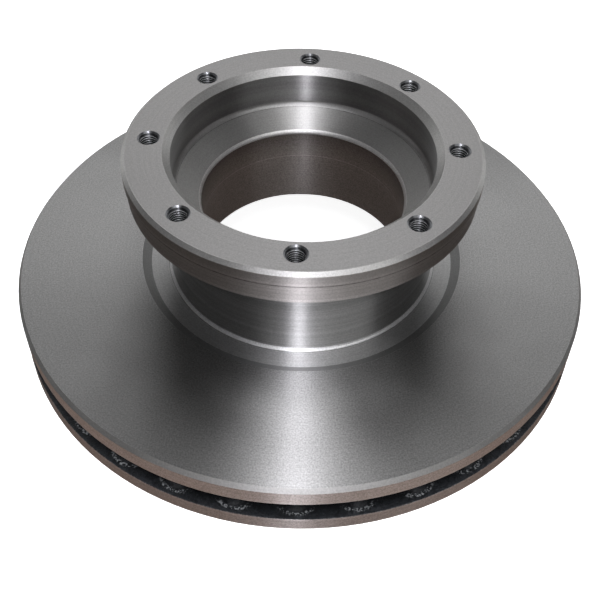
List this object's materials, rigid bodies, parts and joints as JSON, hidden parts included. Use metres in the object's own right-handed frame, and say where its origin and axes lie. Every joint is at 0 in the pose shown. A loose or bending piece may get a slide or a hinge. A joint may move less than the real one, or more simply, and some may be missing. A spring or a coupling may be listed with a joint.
{
  "type": "brake disc",
  "caption": "Ventilated cast iron brake disc for a heavy vehicle, with a tall neck and a mounting flange of tapped holes.",
  "frame": {"origin": "centre of the inboard friction face, which the disc lies on", "axes": "+Z along the axis of rotation towards the mounting flange; +X and +Y each pass through a tapped hole"},
  "size_m": [0.4299, 0.43, 0.145],
  "materials": {
    "turned_cast_iron": "fine turned grey iron, with raw black casting in the vents"
  },
  "bodies": {
    "root": {"brake_disc": "turned_cast_iron"}
  },
  "joints": []
}
